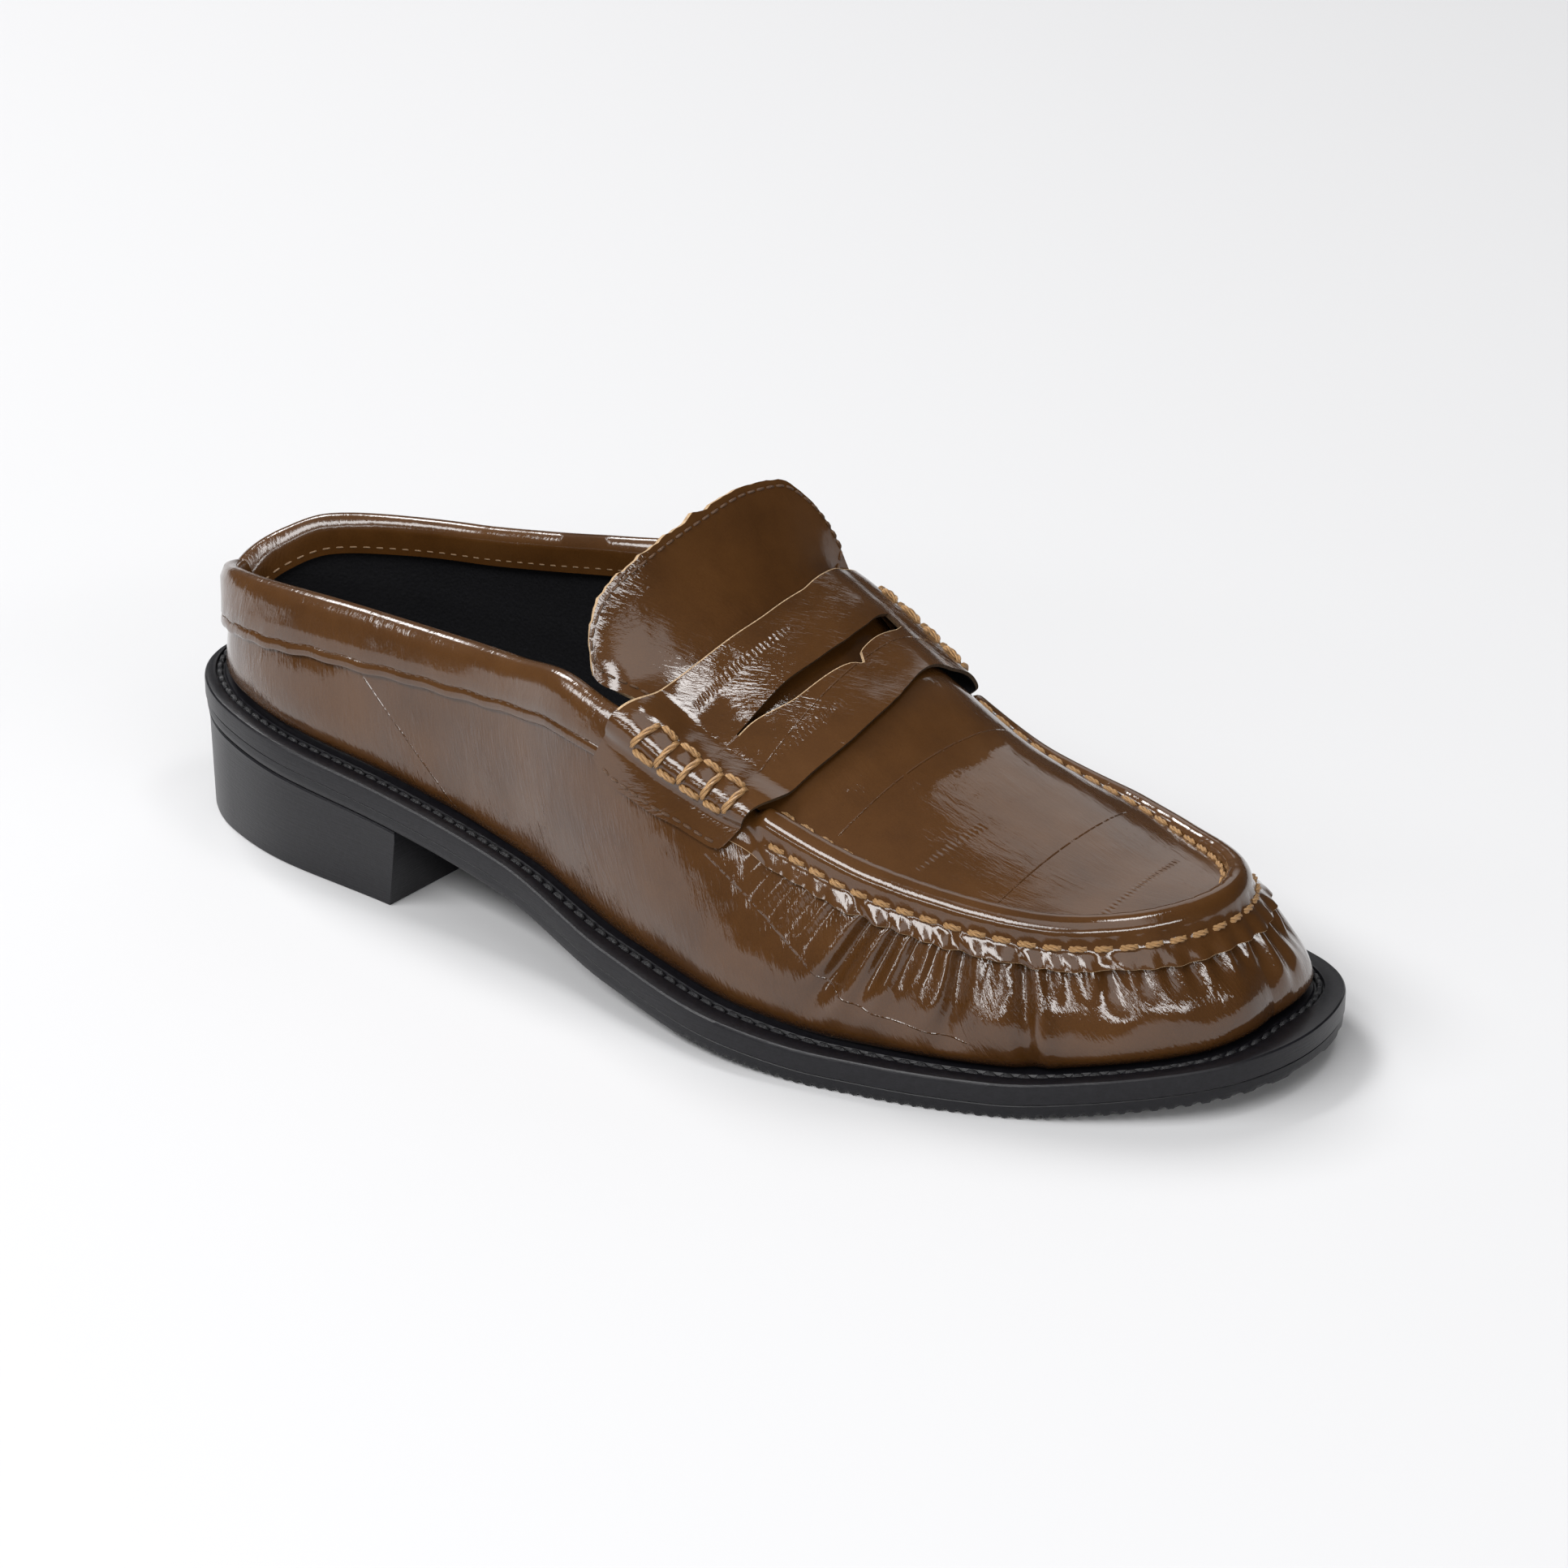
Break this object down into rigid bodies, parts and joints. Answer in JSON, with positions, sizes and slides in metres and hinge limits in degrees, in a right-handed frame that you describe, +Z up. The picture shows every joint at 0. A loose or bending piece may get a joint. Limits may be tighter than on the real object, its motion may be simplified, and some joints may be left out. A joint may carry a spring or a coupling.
{
  "type": "loafer mule",
  "caption": "Low-backed loafer mule: gathered apron toe, saddle strap with a shaped slot, flared tongue, welted sole with a block heel.",
  "frame": {"origin": "middle of the shoe's length and width, on the floor under the sole", "axes": "+X from heel to toe, +Y to the inner side of the foot, +Z up"},
  "size_m": [0.27, 0.1038, 0.093],
  "materials": {
    "outsole": "satin",
    "welt": "satin",
    "heel_block": "satin",
    "insole": "matt",
    "upper": "patent",
    "tongue": "patent",
    "strap": "patent",
    "collar_binding": "patent"
  },
  "bodies": {
    "root": {"outsole": "outsole", "welt": "welt", "heel_block": "heel_block", "insole": "insole", "upper": "upper", "tongue": "tongue", "strap": "strap", "collar_binding": "collar_binding"}
  },
  "joints": []
}
